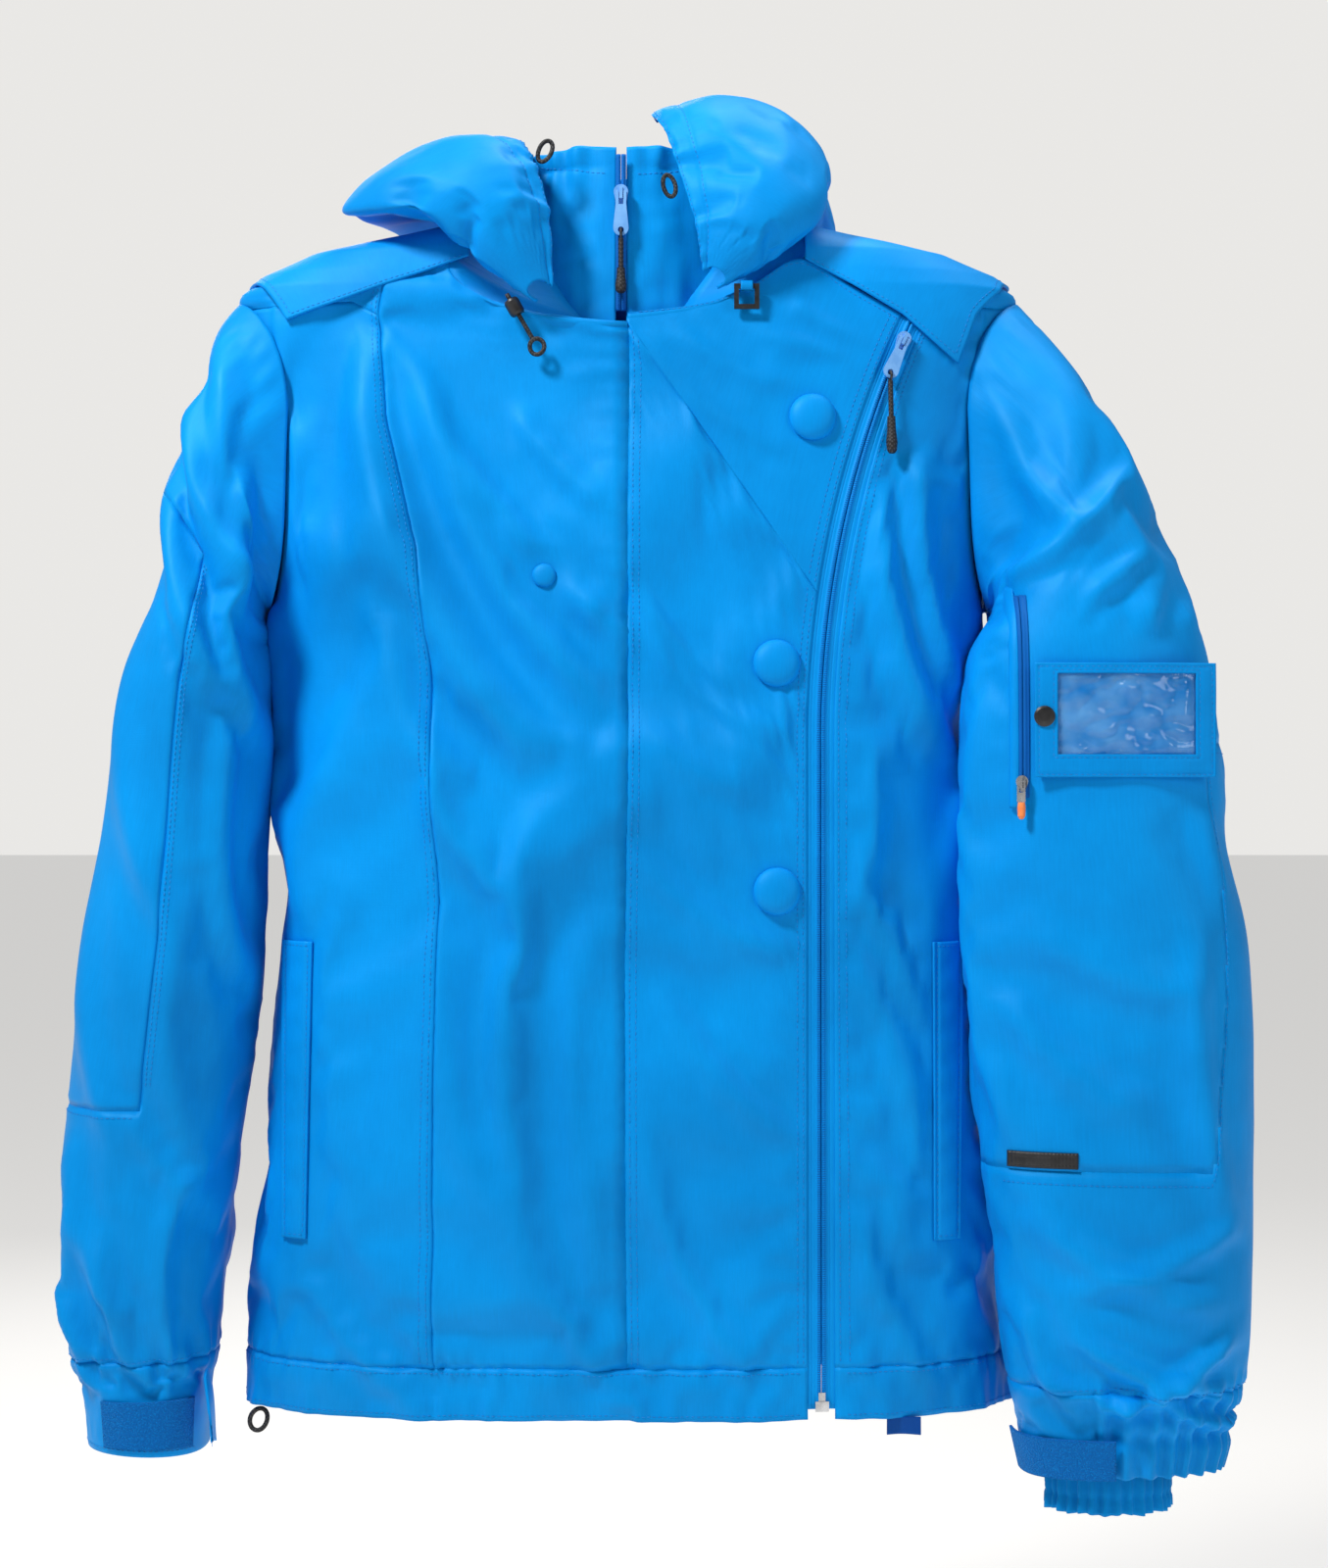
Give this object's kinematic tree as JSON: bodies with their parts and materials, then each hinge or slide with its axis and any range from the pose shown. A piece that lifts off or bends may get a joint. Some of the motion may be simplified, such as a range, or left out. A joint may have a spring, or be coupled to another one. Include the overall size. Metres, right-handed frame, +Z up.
{
  "type": "ski jacket",
  "caption": "Hooded ski jacket with a slanting front zip, covered buttons, fold-back lapel, yoke flaps, sleeve pass window and adjustable cuffs, hanging.",
  "frame": {"origin": "centre of the neck opening, where the hook of a coat hanger leaves the garment", "axes": "+Z up as the jacket hangs, -Y out of its front, +X towards the wearer's left sleeve"},
  "size_m": [0.708, 0.2927, 0.85],
  "materials": {
    "shell_fabric": "woven, slight sheen",
    "lining_fabric": "smooth lining",
    "zip_tape": "woven tape",
    "rib_knit": "stretch rib",
    "loop_fabric": "hook-and-loop pile",
    "light_plastic": "semi-gloss",
    "black_cord": "braided elastic",
    "black_plastic": "satin",
    "bright_metal": "satin",
    "orange_rubber": "satin",
    "clear_film": "clear, wrinkled"
  },
  "bodies": {
    "shell": {"back_panel": "shell_fabric", "back_yoke": "shell_fabric", "left_front_panel": "shell_fabric", "left_shoulder_panel": "shell_fabric", "right_side_panel": "shell_fabric", "right_front_panel": "shell_fabric", "right_shoulder_panel": "shell_fabric", "front_flap": "shell_fabric", "lapel": "shell_fabric", "hem_band": "shell_fabric", "left_yoke_flap": "shell_fabric", "right_yoke_flap": "shell_fabric", "inner_placket": "shell_fabric", "lining": "lining_fabric", "powder_skirt": "lining_fabric", "collar_left_half": "shell_fabric", "collar_right_half": "shell_fabric", "hood": "shell_fabric", "hang_loop": "lining_fabric", "left_sleeve": "shell_fabric", "left_lower_sleeve": "shell_fabric", "left_cuff": "shell_fabric", "left_cuff_gaiter": "rib_knit", "right_sleeve": "shell_fabric", "right_elbow_panel": "shell_fabric", "right_cuff": "shell_fabric", "right_cuff_gaiter": "rib_knit", "right_loop_patch": "loop_fabric", "left_pocket_welt": "shell_fabric", "right_pocket_welt": "shell_fabric", "pocket_bags": "lining_fabric", "zip_tape_left": "zip_tape", "zip_tape_right": "zip_tape", "zip_bottom_box": "bright_metal", "collar_zip_chain": "zip_tape", "sleeve_zip_tape": "zip_tape", "body_buttons": "shell_fabric", "body_snaps": "shell_fabric", "sleeve_badge": "black_plastic", "ring_strap": "shell_fabric", "hood_cord_loops": "black_cord", "hem_cord_loop": "black_cord", "hem_tab": "lining_fabric"},
    "main_slider": {"main_slider": "light_plastic"},
    "main_puller_tab": {"main_puller_tab": "light_plastic"},
    "main_puller_cord": {"main_puller_cord": "black_cord"},
    "collar_slider": {"collar_slider": "light_plastic"},
    "collar_puller": {"collar_puller_tab": "light_plastic", "collar_puller_cord": "black_cord"},
    "sleeve_slider": {"sleeve_slider": "bright_metal"},
    "sleeve_puller": {"sleeve_puller": "bright_metal", "sleeve_puller_tip": "orange_rubber"},
    "pass_flap": {"pass_flap": "shell_fabric", "pass_window": "clear_film", "pass_snap": "black_plastic"},
    "left_cuff_tab": {"left_cuff_tab": "shell_fabric"},
    "right_cuff_tab": {"right_cuff_tab": "shell_fabric"},
    "hood_cord_lock": {"hood_cord_lock": "black_plastic"},
    "glove_ring": {"glove_ring": "black_plastic"}
  },
  "joints": [
    {"name": "main_zip_travel", "type": "hinge", "parent": "shell", "child": "main_slider", "pos_m": [0.71918, -0.01769, -0.33098], "axis": [0.1096, -0.9902, 0.0871], "range_deg": [0, 23.2]},
    {"name": "main_puller_swing", "type": "hinge", "parent": "main_slider", "child": "main_puller_tab", "pos_m": [0.16549, -0.06075, -0.08217], "axis": [-0.9024, -0.1251, 0.4124], "range_deg": [0, 160]},
    {"name": "main_cord_swing", "type": "hinge", "parent": "main_puller_tab", "child": "main_puller_cord", "pos_m": [0.15651, -0.06414, -0.10285], "axis": [0.1748, -0.9809, 0.0851], "range_deg": [-38, 30]},
    {"name": "collar_zip_travel", "type": "slide", "parent": "shell", "child": "collar_slider", "axis": [0, 0, 1], "range_m": [-0.018, 0.018]},
    {"name": "collar_puller_swing", "type": "hinge", "parent": "collar_slider", "child": "collar_puller", "pos_m": [-0.004, -0.0553, 0.0066], "axis": [-1, 0, 0], "range_deg": [0, 150]},
    {"name": "sleeve_zip_travel", "type": "hinge", "parent": "shell", "child": "sleeve_slider", "pos_m": [0.22927, 0.61237, -0.33855], "axis": [-1, 0, 0], "range_deg": [0, 5.7]},
    {"name": "sleeve_puller_swing", "type": "hinge", "parent": "sleeve_slider", "child": "sleeve_puller", "pos_m": [0.22802, -0.11406, -0.34641], "axis": [-0.9376, 0.3478, 0.0005], "range_deg": [0, 150]},
    {"name": "pass_flap_lift", "type": "hinge", "parent": "shell", "child": "pass_flap", "pos_m": [0.288, -0.1186, -0.278], "axis": [-1, 0, 0], "range_deg": [0, 100]},
    {"name": "left_cuff_tab_peel", "type": "hinge", "parent": "shell", "child": "left_cuff_tab", "pos_m": [0.2847, -0.105, -0.741], "axis": [-0.04, -0.1902, 0.9809], "range_deg": [0, 110]},
    {"name": "right_cuff_tab_swing", "type": "hinge", "parent": "shell", "child": "right_cuff_tab", "pos_m": [-0.2505, -0.0475, -0.72], "axis": [0, 0, 1], "range_deg": [-5, 45]},
    {"name": "hood_lock_slide", "type": "slide", "parent": "shell", "child": "hood_cord_lock", "axis": [0.4983, 0, -0.867], "range_m": [0, 0.013]},
    {"name": "ring_swing", "type": "hinge", "parent": "shell", "child": "glove_ring", "pos_m": [0.071, -0.066, -0.0519], "axis": [-1, 0, 0], "range_deg": [-4, 90]}
  ]
}
